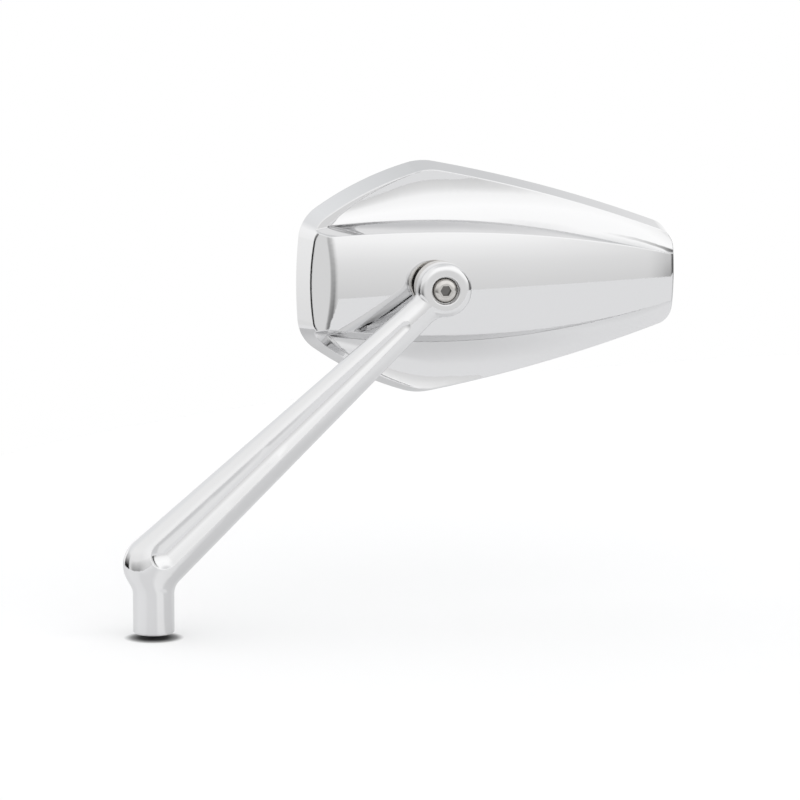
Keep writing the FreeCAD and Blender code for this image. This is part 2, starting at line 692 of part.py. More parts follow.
def facet_tool():
    """Space beyond the facet that slopes from the rim to the crown at the inner end."""
    foot = Vector(RIM_HEIGHT * WALL_SLOPE - INNER_END, -CLEAR_OUT, RIM_HEIGHT)
    rise = Vector(CLEAR_ABOVE / math.tan(math.radians(INNER_FACET_SLOPE)), 0, CLEAR_ABOVE)
    out = Vector(-CLEAR_OUT, 0, 0)
    ring = Part.makePolygon([foot, foot + rise, foot + rise + out, foot + out, foot])
    return Part.Face(ring).extrude(Vector(0, 2 * CLEAR_OUT, 0))


def rounded(body, radius, test):
    """Body with a round on each edge whose bounding box passes a test."""
    return body.makeFillet(radius, [edge for edge in body.Edges if test(edge.BoundBox)])


def outer_round():
    """Round of the spine's outer end, limited by the room beside the spine and its height over the rim."""
    corner, side = rim_circles()[6:8]
    top = crown_height(OUTER_END, 0.0)
    end = OUTER_END - top * WALL_SLOPE
    flat = (corner[0] - side[0]).normalize().y * (side[1] - top * WALL_SLOPE)
    edge = crown_height(end, flat)
    room = flat - spine_half(end, edge)
    return min(OUTER_END_ROUND, room / OUTER_ROUND_REACH, edge - RIM_HEIGHT)


def softened(body):
    """Head form with rounds at the facet's foot, the two ends of its crown and the pockets' steps."""
    land = RIM_HEIGHT - NEAR
    crest = crown_height(-INNER_END, INNER_HALF)
    corner = POCKET_CORNER_GAP - INNER_END - NEAR
    body = rounded(body, INNER_RIM_ROUND, lambda box: (
        box.XMax < -INNER_END / 2 and land < box.ZMin < crest and NEAR < box.ZLength < box.YLength))
    body = rounded(body, INNER_END_ROUND, lambda box: (
        box.XMax < -INNER_END / 2 and crest < box.ZMin and box.YLength > INNER_HALF))
    body = rounded(body, outer_round(), lambda box: (
        box.XMin > OUTER_END / 2 and land < box.ZMin and box.YLength > SPINE_OUTER_HALF))
    return rounded(body, POCKET_EDGE_ROUND, lambda box: (
        corner < box.XMin and box.XMax < NEAR and box.XLength > INNER_HALF
        and land < box.ZMin and box.ZLength < NEAR))


def shell_outside():
    """Solid form of the head: drafted wall, crowned spine, inner facet and the two pockets."""
    wall = Part.makeLoft([wall_outline(0.0), wall_outline(CLEAR_ABOVE)], True, True)
    tool = pocket_tool()
    lower = tool.mirror(Vector(0, 0, 0), Vector(0, 1, 0))
    return softened(wall.common(crown(0.0)).cut([tool, lower, facet_tool()]).Solids[0])


def hollow():
    """Space inside the head: glass recess, shallow room and the room under the spine round the boss."""
    recess = outline_block(LIP_THICKNESS, -LEDGE_DEPTH, LEDGE_DEPTH)
    room = outline_block(LIP_THICKNESS + LEDGE_WIDTH, 0.0, CAVITY_DEPTH)
    boss = on_axis(PLATE_RADIUS + PLATE_EDGE, BALL_HEIGHT, CLEAR_ABOVE)
    under = spine_block(SPINE_WALL, CAVITY_END, LEDGE_DEPTH).common(crown(SPINE_WALL)).cut(boss)
    return recess.fuse([room, under])


def joint_bores():
    """Socket for the ball's seats, its flared mouth and the tapped holes for the clamp screws."""
    lip = polar(SOCKET_RADIUS, SOCKET_LIP_ANGLE)
    mouth = Part.makeCone(lip.x, MOUTH_RADIUS, CLEAR_ABOVE - lip.z, Vector(0, 0, lip.z))
    socket = Part.makeSphere(SOCKET_RADIUS, Vector(0, 0, BALL_HEIGHT))
    deep = BALL_HEIGHT + CLAMP_SCREW_DEPTH + CLAMP_TAP_SPARE
    return [socket, mouth] + round_the_clamp(on_axis(CLAMP_SCREW_RADIUS + THREAD_GAP, BALL_HEIGHT, deep))


def mirror_shell():
    """Cast head shell, hollow behind the glass."""
    return shell_outside().cut([hollow()] + joint_bores())


def glass_ball(depth):
    """Ball whose surface is the glass's curve at a depth behind its front."""
    centre = Vector(GLASS_CENTRE_X, 0, GLASS_SINK + GLASS_CURVE_RADIUS)
    return Part.makeSphere(GLASS_CURVE_RADIUS - depth, centre)


def mirror_glass():
    """Convex glass inside the rim's lip."""
    blank = outline_block(GLASS_INSET, 0.0, LEDGE_DEPTH)
    return blank.common(glass_ball(0.0)).cut(glass_ball(GLASS_THICKNESS))


def glass_tape():
    """Foam tape that holds the glass to the ledge."""
    ring = outline_block(GLASS_INSET + TAPE_GAP, 0.0, LEDGE_DEPTH)
    ring = ring.cut(outline_block(GLASS_INSET + TAPE_GAP + TAPE_WIDTH, 0.0, LEDGE_DEPTH))
    return ring.common(glass_ball(GLASS_THICKNESS))


def main():
    """Builds every node and writes it."""
    os.makedirs("parts", exist_ok=True)
    save(stem(), "stem")
    save(seated(pivot_screw(), STEM_PLACE), "pivot_screw")
    save(seated(spacer_collar(), STEM_PLACE), "spacer_collar")
    save(seated(ball_stud(), STEM_PLACE), "ball_stud")
    save(seated(ball_seat(FRONT_SEAT_ANGLES)), "front_seat")
    save(seated(ball_seat(REAR_SEAT_ANGLES)), "rear_seat")
    save(seated(clamp_plate()), "clamp_plate")
    save(seated(clamp_springs()), "clamp_springs")
    save(seated(clamp_screws()), "clamp_screws")
    save(seated(mirror_shell()), "mirror_shell")
    save(seated(mirror_glass()), "mirror_glass")
    save(seated(glass_tape()), "glass_tape")


main()
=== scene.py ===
"""Chromed motorcycle mirror: finishes, fine detail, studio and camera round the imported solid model."""
import json
import logging
import math
from dataclasses import dataclass
from enum import Enum
from typing import Iterable

import bmesh
import bpy
import numpy
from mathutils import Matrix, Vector


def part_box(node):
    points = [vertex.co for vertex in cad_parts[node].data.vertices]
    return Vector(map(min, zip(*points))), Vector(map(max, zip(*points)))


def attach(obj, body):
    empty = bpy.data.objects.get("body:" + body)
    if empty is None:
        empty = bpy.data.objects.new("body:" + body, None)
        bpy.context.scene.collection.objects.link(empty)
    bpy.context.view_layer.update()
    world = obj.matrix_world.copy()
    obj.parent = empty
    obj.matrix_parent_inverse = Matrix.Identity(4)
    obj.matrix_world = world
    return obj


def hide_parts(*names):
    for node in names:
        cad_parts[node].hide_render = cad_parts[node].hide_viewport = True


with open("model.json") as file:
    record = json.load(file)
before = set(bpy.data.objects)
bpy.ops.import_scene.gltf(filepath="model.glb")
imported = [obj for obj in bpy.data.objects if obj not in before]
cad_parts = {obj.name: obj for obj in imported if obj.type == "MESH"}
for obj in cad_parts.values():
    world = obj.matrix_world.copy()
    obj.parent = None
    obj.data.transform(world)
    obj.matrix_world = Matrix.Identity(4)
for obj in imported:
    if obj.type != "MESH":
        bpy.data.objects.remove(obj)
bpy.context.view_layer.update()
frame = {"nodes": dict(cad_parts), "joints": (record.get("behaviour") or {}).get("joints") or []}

LOG = logging.getLogger("mirror")

Colour = tuple[float, float, float]
Point = tuple[float, float, float]
Span = tuple[float, float]
Levels = tuple[tuple[float, float], ...]
Sky = tuple[tuple[float, Colour], ...]


class Body(Enum):
    """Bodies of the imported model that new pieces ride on."""

    STEM = "stem"
    HEAD = "head"


class Slot(Enum):
    """Material slots of the record."""

    CHROME = "chrome"
    STAINLESS = "stainless"
    SEAT_PLASTIC = "seat_plastic"
    MIRROR = "mirror"
    TAPE = "tape"


class Graph:
    """A short-hand for adding and joining the nodes of one tree."""

    prefix = "ShaderNode"

    def __init__(self, tree: bpy.types.NodeTree) -> None:
        """Takes a node tree and empties it."""
        self.tree = tree
        tree.nodes.clear()

    def add(self, kind: str, inputs: dict[str | int, object] | None = None, **settings: object) -> bpy.types.Node:
        """Adds a node.

        Args:
            kind: Node type's name without the prefix of the tree's kind.
            inputs: Socket name or index to a value, or to an output socket that is linked to it.
            settings: Attributes of the node.

        Returns:
            The new node.
        """
        node = self.tree.nodes.new(self.prefix + kind)
        for name, value in settings.items():
            setattr(node, name, value)
        for name, value in (inputs or {}).items():
            if isinstance(value, bpy.types.NodeSocket):
                self.link(value, node, name)
            else:
                node.inputs[name].default_value = value
        return node

    def link(self, source: bpy.types.NodeSocket, node: bpy.types.Node, name: str | int) -> None:
        """Joins an output socket to an input of a node."""
        self.tree.links.new(source, node.inputs[name])


class NodeGraph(Graph):
    """Shader nodes of a material or world."""

    def ramp(self, factor: bpy.types.NodeSocket, stops: Iterable[tuple[float, Colour]]) -> bpy.types.NodeSocket:
        """Adds a colour ramp with straight steps from stop to stop.

        Args:
            factor: Socket that drives the ramp.
            stops: Position and colour of each stop, in order.

        Returns:
            The ramp's colour output.
        """
        node = self.add("ValToRGB", {"Fac": factor})
        elements = node.color_ramp.elements
        stops = list(stops)
        while len(elements) < len(stops):
            elements.new(1.0)
        for element, (place, colour) in zip(elements, stops):
            element.position = place
            element.color = (*colour, 1.0)
        return node.outputs["Color"]

    def maths(self, operation: str, *values: object) -> bpy.types.NodeSocket:
        """Result of an operation on numbers or sockets."""
        return self.add("Math", dict(enumerate(values)), operation=operation).outputs["Value"]

    def spread(self, value: bpy.types.NodeSocket, source: Span = (0.0, 1.0), target: Span = (0.0, 1.0),
               eased: bool = False) -> bpy.types.NodeSocket:
        """Maps one range of values to another and holds what lies outside it at its ends.

        Args:
            value: Socket to map.
            source: Range that is mapped.
            target: Values at the two ends of that range.
            eased: Whether the change eases in and out.

        Returns:
            The mapped value's socket.
        """
        node = self.add("MapRange", {
            "Value": value, "From Min": source[0], "From Max": source[1],
            "To Min": target[0], "To Max": target[1]},
            interpolation_type="SMOOTHSTEP" if eased else "LINEAR")
        return node.outputs["Result"]

    def mix(self, share: bpy.types.NodeSocket, first: object, second: object) -> bpy.types.NodeSocket:
        """Mixes two colours; a Mix node has its colour inputs at 6 and 7 and its colour output at 2.

        Args:
            share: Share of the second colour.
            first: Colour, or a socket with one.
            second: Colour, or a socket with one.

        Returns:
            The mixed colour's socket.
        """
        return self.add("Mix", {0: share, 6: first, 7: second}, data_type="RGBA").outputs[2]

    def scaled(self, colour: bpy.types.NodeSocket, scale: bpy.types.NodeSocket) -> bpy.types.NodeSocket:
        """A colour or direction times a number."""
        return self.add("VectorMath", {0: colour, "Scale": scale}, operation="SCALE").outputs["Vector"]

    def length(self, vector: bpy.types.NodeSocket) -> bpy.types.NodeSocket:
        """Length of a vector."""
        return self.add("VectorMath", {0: vector}, operation="LENGTH").outputs["Value"]

    def heading(self, parts: bpy.types.Node) -> bpy.types.NodeSocket:
        """Share of a full turn round Z, from behind by the left side, the front (-Y) and the right side.

        Args:
            parts: Node that separates a direction into X, Y and Z.

        Returns:
            The share's socket, one half straight in front.
        """
        ahead = self.maths("MULTIPLY", parts.outputs["Y"], -1.0)
        turn = self.maths("ARCTAN2", parts.outputs["X"], ahead)
        return self.spread(turn, (-math.pi, math.pi))


def grey(level: float) -> Colour:
    """Linear colour of an even grey."""
    return (level, level, level)


def shade(colour: Colour, level: float) -> Colour:
    """A colour made lighter or darker."""
    return tuple(level * part for part in colour)


def turn_share(degrees: float) -> float:
    """Share of a full turn at an angle from -180 to 180 degrees."""
    return (degrees + 180) / 360


def radians(span: Span) -> Span:
    """A range of degrees in radians."""
    return (math.radians(span[0]), math.radians(span[1]))


@dataclass(frozen=True)
class Finish:
    """A surface finish that dresses pieces of one record slot."""

    name: str
    slot: Slot
    colour: Colour
    roughness: float

    def material(self) -> bpy.types.Material:
        """Material of this finish, made at its first use.

        Returns:
            The finish's material.
        """
        known = bpy.data.materials.get(self.name)
        if known:
            return known
        made = bpy.data.materials.new(self.name)
        made.use_nodes = True
        graph = NodeGraph(made.node_tree)
        shader = graph.add("BsdfPrincipled", {
            "Base Color": (*self.colour, 1.0), "Roughness": self.roughness})
        self.detail(graph, shader)
        graph.add("OutputMaterial", {"Surface": shader.outputs["BSDF"]})
        return made

    def detail(self, graph: NodeGraph, shader: bpy.types.Node) -> None:
        """Adds to the main shader what sets this finish apart."""

    def dress(self, piece: bpy.types.Object) -> None:
        """Gives a piece this finish alone."""
        piece.data.materials.clear()
        piece.data.materials.append(self.material())


@dataclass(frozen=True)
class Chrome(Finish):
    """Bright plating over polished metal: eased edges, a faint haze and the slow ripple of hand polishing."""

    edge_round: float = 0.0008
    edge_samples: int = 6
    ripple_scale: float = 55.0
    ripple_depth: float = 0.00002
    haze: float = 0.03

    def detail(self, graph: NodeGraph, shader: bpy.types.Node) -> None:
        """Makes the metal bright, with eased edges, roughness that drifts and a ripple below sight.

        Args:
            graph: The material's nodes.
            shader: The material's main shader.
        """
        shader.inputs["Metallic"].default_value = 1.0
        place = graph.add("TexCoord").outputs["Object"]
        drift = graph.add("TexNoise", {
            "Vector": place, "Scale": self.ripple_scale, "Detail": 1.0}).outputs["Fac"]
        rough = graph.spread(drift, target=(self.roughness, self.roughness + self.haze))
        graph.link(rough, shader, "Roughness")
        eased = graph.add("Bevel", {"Radius": self.edge_round}, samples=self.edge_samples)
        bump = graph.add("Bump", {
            "Strength": 1.0, "Distance": self.ripple_depth, "Height": drift,
            "Normal": eased.outputs["Normal"]})
        graph.link(bump.outputs["Normal"], shader, "Normal")


@dataclass(frozen=True)
class TurnedSteel(Finish):
    """Plain stainless steel with the rings that a lathe leaves round an axis."""

    centre: Point = (0.0, 0.0, 0.0)
    stretch: Point = (1.0, 0.6, 1.0)
    ring_pitch: float = 0.00022
    ring_depth: float = 0.000012
    ring_strength: float = 0.35
    stain_scale: float = 700.0
    stain_detail: float = 4.0
    stain_tones: Levels = ((0.25, 0.93), (0.75, 1.05))
    rough_drift: Span = (0.9, 1.1)

    def detail(self, graph: NodeGraph, shader: bpy.types.Node) -> None:
        """Adds turning rings about the axis along Y through the centre, and a faint stain.

        Args:
            graph: The material's nodes.
            shader: The material's main shader.
        """
        shader.inputs["Metallic"].default_value = 1.0
        place = graph.add("TexCoord").outputs["Object"]
        mapped = graph.add("Mapping", {
            "Vector": place, "Location": shade(self.centre, -1.0), "Scale": self.stretch}).outputs["Vector"]
        noise = graph.add("TexNoise", {
            "Vector": mapped, "Scale": self.stain_scale, "Detail": self.stain_detail}).outputs["Fac"]
        wave = graph.maths("SINE", graph.maths(
            "MULTIPLY", graph.length(mapped), math.tau / self.ring_pitch))
        stain = graph.ramp(noise, [(spot, shade(self.colour, tone)) for spot, tone in self.stain_tones])
        # Base colour with painted shade: the socket screw's dark socket; plain steel gets none.
        graph.link(self.with_painted_shade(graph, place, stain), shader, "Base Color")
        low, high = self.rough_drift
        rough = graph.spread(noise, target=(self.roughness * low, self.roughness * high))
        graph.link(rough, shader, "Roughness")
        bump = graph.add("Bump", {
            "Strength": self.ring_strength, "Distance": self.ring_depth, "Height": wave})
        graph.link(bump.outputs["Normal"], shader, "Normal")

    def with_painted_shade(self, graph: NodeGraph, place: bpy.types.NodeSocket,
               stain: bpy.types.NodeSocket) -> bpy.types.NodeSocket:
        """Colour of the steel with painted shade added: none, on plain steel."""
        return stain


@dataclass(frozen=True)
class SocketSteel(TurnedSteel):
    """Turned steel of a socket screw, with shade painted dark into its socket."""

    front: float = 0.0
    socket_radius: float = 0.00235
    socket_mouth: float = 0.0002
    socket_depth: float = 0.0012
    # Brightness that the painted shade leaves at the bottom of the socket.
    socket_shade_level: float = 0.28

    def with_painted_shade(self, graph: NodeGraph, place: bpy.types.NodeSocket,
               stain: bpy.types.NodeSocket) -> bpy.types.NodeSocket:
        """Paints shade into the socket, darker from its mouth down.

        Args:
            graph: The material's nodes.
            place: Object coordinates.
            stain: Colour of the steel before the painted shade.

        Returns:
            The colour's socket.
        """
        parts = graph.add("SeparateXYZ", {"Vector": place})
        off_x = graph.maths("SUBTRACT", parts.outputs["X"], self.centre[0])
        off_z = graph.maths("SUBTRACT", parts.outputs["Z"], self.centre[2])
        reach = graph.maths("SQRT", graph.maths(
            "ADD", graph.maths("MULTIPLY", off_x, off_x), graph.maths("MULTIPLY", off_z, off_z)))
        inside = graph.maths("LESS_THAN", reach, self.socket_radius)
        down = graph.spread(
            parts.outputs["Y"], (self.front + self.socket_mouth, self.front + self.socket_depth),
            (0.0, 1.0 - self.socket_shade_level))
        # Painted shade: the socket's recess darkens with depth, in place of its shadow.
        unshaded_share = graph.maths("SUBTRACT", 1.0, graph.maths("MULTIPLY", inside, down))
        return graph.scaled(stain, unshaded_share)


@dataclass(frozen=True)
class MattPlastic(Finish):
    """Moulded plastic or foam with a fine grain."""

    grain_scale: float = 2600.0
    grain_detail: float = 4.0
    grain_depth: float = 0.00004
    grain_strength: float = 0.5
    grain_tones: Levels = ((0.3, 0.7), (0.7, 1.4))

    def detail(self, graph: NodeGraph, shader: bpy.types.Node) -> None:
        """Adds a fine grain to the colour and the surface.

        Args:
            graph: The material's nodes.
            shader: The material's main shader.
        """
        place = graph.add("TexCoord").outputs["Object"]
        grain = graph.add("TexNoise", {
            "Vector": place, "Scale": self.grain_scale, "Detail": self.grain_detail}).outputs["Fac"]
        tone = graph.ramp(grain, [(spot, shade(self.colour, level)) for spot, level in self.grain_tones])
        graph.link(tone, shader, "Base Color")
        bump = graph.add("Bump", {
            "Strength": self.grain_strength, "Distance": self.grain_depth, "Height": grain})
        graph.link(bump.outputs["Normal"], shader, "Normal")


@dataclass(frozen=True)
class SilveredGlass(Finish):
    """Mirror glass: silver all over its faces and dark ground glass round its edge."""

    edge_colour: Colour = (0.05, 0.09, 0.08)
    edge_roughness: float = 0.45
    face_turn: float = 0.8

    def detail(self, graph: NodeGraph, shader: bpy.types.Node) -> None:
        """Sets the ground edge apart from the silvered faces by the way a face looks.

        Args:
            graph: The material's nodes.
            shader: The material's main shader.
        """
        normal = graph.add("NewGeometry").outputs["True Normal"]
        turned = graph.add("SeparateXYZ", {"Vector": normal}).outputs["Y"]
        face = graph.maths("GREATER_THAN", graph.maths("ABSOLUTE", turned), self.face_turn)
        tone = graph.ramp(face, [(0.0, self.edge_colour), (1.0, self.colour)])
        graph.link(tone, shader, "Base Color")
        rough = graph.spread(face, target=(self.edge_roughness, self.roughness))
        graph.link(rough, shader, "Roughness")
        graph.link(face, shader, "Metallic")


class ShapeGraph(Graph):
    """Geometry nodes with named inputs, which end in one plain mesh piece."""

    prefix = "GeometryNode"

    def __init__(self, name: str) -> None:
        """Starts a tree.

        Args:
            name: Name of the tree and of the piece that it makes.
        """
        super().__init__(bpy.data.node_groups.new(name, "GeometryNodeTree"))
        self.entry = self.tree.nodes.new("NodeGroupInput")
        self.sizes: dict[str, float | int] = {}

    def size(self, name: str, value: float | int) -> bpy.types.NodeSocket:
        """Adds a named input.

        Args:
            name: Input's name.
            value: Size or count that the piece is made with.

        Returns:
            The input's socket inside the tree.
        """
        kind = "NodeSocketInt" if isinstance(value, int) else "NodeSocketFloat"
        self.tree.interface.new_socket(name, in_out="INPUT", socket_type=kind)
        self.sizes[name] = value
        return self.entry.outputs[name]

    def piece(self, geometry: bpy.types.NodeSocket, finish: Finish) -> bpy.types.Object:
        """Ends the tree, gives its geometry a finish and turns it into a plain mesh.

        Args:
            geometry: Socket with the geometry that the tree makes.
            finish: Finish of the piece.

        Returns:
            The piece, with no modifier left on it.
        """
        whole = self.add("RealizeInstances", {"Geometry": geometry})
        dressed = self.add("SetMaterial", {
            "Geometry": whole.outputs["Geometry"], "Material": finish.material()})
        self.tree.interface.new_socket("Geometry", in_out="OUTPUT", socket_type="NodeSocketGeometry")
        last = self.tree.nodes.new("NodeGroupOutput")
        self.link(dressed.outputs["Geometry"], last, "Geometry")
        made = bpy.data.objects.new(self.tree.name, bpy.data.meshes.new(self.tree.name))
        bpy.context.scene.collection.objects.link(made)
        modifier = made.modifiers.new("shape", "NODES")
        modifier.node_group = self.tree
        for item in self.tree.interface.items_tree:
            if item.in_out == "INPUT":
                modifier[item.identifier] = self.sizes[item.name]
        evaluated = made.evaluated_get(bpy.context.evaluated_depsgraph_get())
        mesh = bpy.data.meshes.new_from_object(evaluated)
        made.modifiers.clear()
        made.data = mesh
        return made


PIVOT: Point = tuple(next(
    joint["pos_m"] for joint in frame["joints"] if joint["name"] == "head_swivel"))

CHROME = Chrome("chrome_plate", Slot.CHROME, (0.75, 0.75, 0.754), 0.015)
STAINLESS = TurnedSteel("turned_stainless", Slot.STAINLESS, (0.56, 0.54, 0.51), 0.16, centre=PIVOT)
SCREW_STEEL = SocketSteel(
    "socket_screw_steel", Slot.STAINLESS, (0.60, 0.585, 0.565), 0.09, centre=PIVOT,
    front=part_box("pivot_screw")[0][1])
SEAT_PLASTIC = MattPlastic("seat_acetal", Slot.SEAT_PLASTIC, grey(0.02), 0.45)
SILVERED = SilveredGlass("silvered_glass", Slot.MIRROR, (0.9, 0.91, 0.92), 0.01)
TAPE = MattPlastic("foam_tape", Slot.TAPE, grey(0.025), 0.85, grain_scale=1500.0, grain_depth=0.0001)


@dataclass
class Stem:
    """Forged stem with its screw, collar and ball stud."""

    node: str = "stem"
    screw: str = "pivot_screw"
    steel_nodes: tuple[str, ...] = ("spacer_collar", "ball_stud")
    bore_radius: float = 0.0044
    thread_pitch: float = 0.00125
    thread_turns: int = 16
    thread_start: float = 0.0012
    points_per_turn: int = 40
    ridge_sides: int = 3
    ridge_radius: float = 0.0003
    ridge_inset: float = 0.4

    def dress(self) -> None:
        """Gives the stem its plating and the joint pieces their turned steel."""
        CHROME.dress(frame["nodes"][self.node])
        SCREW_STEEL.dress(frame["nodes"][self.screw])
        for name in self.steel_nodes:
            STAINLESS.dress(frame["nodes"][name])

    def thread(self) -> None:
        """Winds the ridge of the thread up the foot's tapped hole."""
        graph = ShapeGraph("foot_thread")
        radius = graph.size("Coil Radius", self.bore_radius - self.ridge_inset * self.ridge_radius)
        coil = graph.add("CurveSpiral", {
            "Resolution": graph.size("Points per Turn", self.points_per_turn),
            "Rotations": graph.size("Turns", float(self.thread_turns)),
            "Start Radius": radius, "End Radius": radius,
            "Height": graph.size("Depth", self.thread_pitch * self.thread_turns)})
        level = graph.add("SetCurveNormal", {"Curve": coil.outputs["Curve"]}, mode="Z_UP")
        ridge = graph.add("CurvePrimitiveCircle", {
            "Resolution": graph.size("Ridge Sides", self.ridge_sides),
            "Radius": graph.size("Ridge Radius", self.ridge_radius)})
        wound = graph.add("CurveToMesh", {
            "Curve": level.outputs["Curve"], "Profile Curve": ridge.outputs["Curve"], "Fill Caps": True})
        seated = graph.add("Transform", {
            "Geometry": wound.outputs["Mesh"], "Translation": (0.0, 0.0, self.thread_start)})
        piece = graph.piece(seated.outputs["Geometry"], CHROME)
        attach(piece, Body.STEM.value)
        LOG.info("wound %s, %d turns", piece.name, self.thread_turns)

    def build(self) -> None:
        """Builds and dresses the sub-assembly."""
        self.dress()
        self.thread()


@dataclass
class Head:
    """Mirror head: shell, glass, tape and the clamp of the ball joint."""

    shell: str = "mirror_shell"
    tape: str = "glass_tape"
    steel_nodes: tuple[str, ...] = ("clamp_plate", "clamp_springs", "clamp_screws")
    seats: tuple[str, ...] = ("front_seat", "rear_seat")
    glass_node: str = "mirror_glass"
    glass_piece: str = "convex_glass"
    weld: float = 1e-6
    rear_turn: float = 0.9
    face_turn: float = 0.95

    def dress(self) -> None:
        """Gives each piece of the head, and the seats inside it, its finish."""
        CHROME.dress(frame["nodes"][self.shell])
        for name in self.steel_nodes:
            STAINLESS.dress(frame["nodes"][name])
        for name in self.seats:
            SEAT_PLASTIC.dress(frame["nodes"][name])
        TAPE.dress(frame["nodes"][self.tape])

    def glass(self) -> None:
        """Copies the glass and gives its convex faces normals with which they mirror cleanly."""
        mesh = frame["nodes"][self.glass_node].data.copy()
        mesh.name = self.glass_piece
        shape = bmesh.new()
        shape.from_mesh(mesh)
        bmesh.ops.remove_doubles(shape, verts=shape.verts, dist=self.weld)
        bmesh.ops.triangulate(shape, faces=shape.faces)
        shape.to_mesh(mesh)
        shape.free()
        normals = self.sphere_normals(mesh)
        mesh.shade_smooth()
        mesh.normals_split_custom_set(normals)
        piece = bpy.data.objects.new(self.glass_piece, mesh)
        bpy.context.scene.collection.objects.link(piece)
        SILVERED.dress(piece)
        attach(piece, Body.HEAD.value)
        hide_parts(self.glass_node)
        LOG.info("laid %s", piece.name)

    def sphere_normals(self, mesh: bpy.types.Mesh) -> list[Vector]:
        """Normals of the glass, those of true spheres on its two convex faces.

        Args:
            mesh: Triangles of the glass.

        Returns:
            One normal for each corner of each triangle.
        """
        ahead = sum((face.normal * face.area for face in mesh.polygons
                     if face.normal.y > self.rear_turn), Vector()).normalized()
        normals = [face.normal.copy() for face in mesh.polygons for _ in face.loop_indices]
        for sense in (1.0, -1.0):
            faces = [face for face in mesh.polygons if sense * face.normal.dot(ahead) > self.face_turn]
            corners = {corner for face in faces for corner in face.vertices}
            middle = self.sphere_centre([mesh.vertices[corner].co for corner in corners])
            for face in faces:
                for loop in face.loop_indices:
                    out = (mesh.vertices[mesh.loops[loop].vertex_index].co - middle).normalized()
                    normals[loop] = out if out.dot(face.normal) > 0 else -out
        return normals

    @staticmethod
    def sphere_centre(points: list[Vector]) -> Vector:
        """Centre of the sphere that lies best through points.

        Args:
            points: Points of one face.

        Returns:
            The sphere's centre.
        """
        places = numpy.array(points, dtype=float)
        rows = numpy.column_stack([2.0 * places, numpy.ones(len(places))])
        answer = numpy.linalg.lstsq(rows, (places ** 2).sum(axis=1), rcond=None)[0]
        radius = math.sqrt(answer[3] + (answer[:3] ** 2).sum())
        LOG.info("glass face of radius %.0f mm", 1000 * radius)
        return Vector(answer[:3])

    def build(self) -> None:
        """Builds and dresses the sub-assembly."""
        self.dress()
        self.glass()


